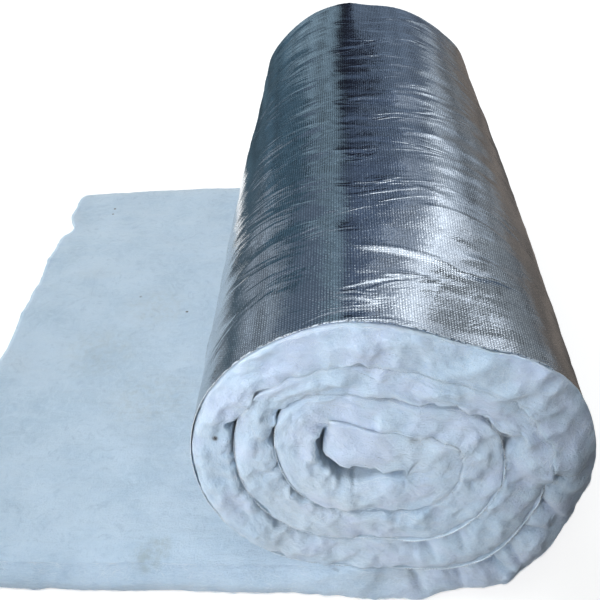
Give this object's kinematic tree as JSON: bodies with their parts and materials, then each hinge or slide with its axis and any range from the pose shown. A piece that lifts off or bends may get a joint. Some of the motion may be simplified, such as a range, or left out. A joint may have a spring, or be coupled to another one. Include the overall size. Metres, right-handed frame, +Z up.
{
  "type": "insulation roll",
  "caption": "Foil-faced ceramic fibre blanket, loosely rolled with the foil outside and its free end laid out flat, for insulating furnaces, ducts and pipes.",
  "frame": {"origin": "on the floor, in the middle of the whole outline", "axes": "+Z up, +Y along the roll, +X from the flat end towards the roll"},
  "size_m": [0.4733, 0.61, 0.2368],
  "materials": {
    "fibre": "soft matt white fibre with loose fluff",
    "foil": "bright foil on woven glass cloth, creased round the roll"
  },
  "bodies": {
    "root": {"fibre_blanket": "fibre", "foil_facing": "foil"}
  },
  "joints": []
}
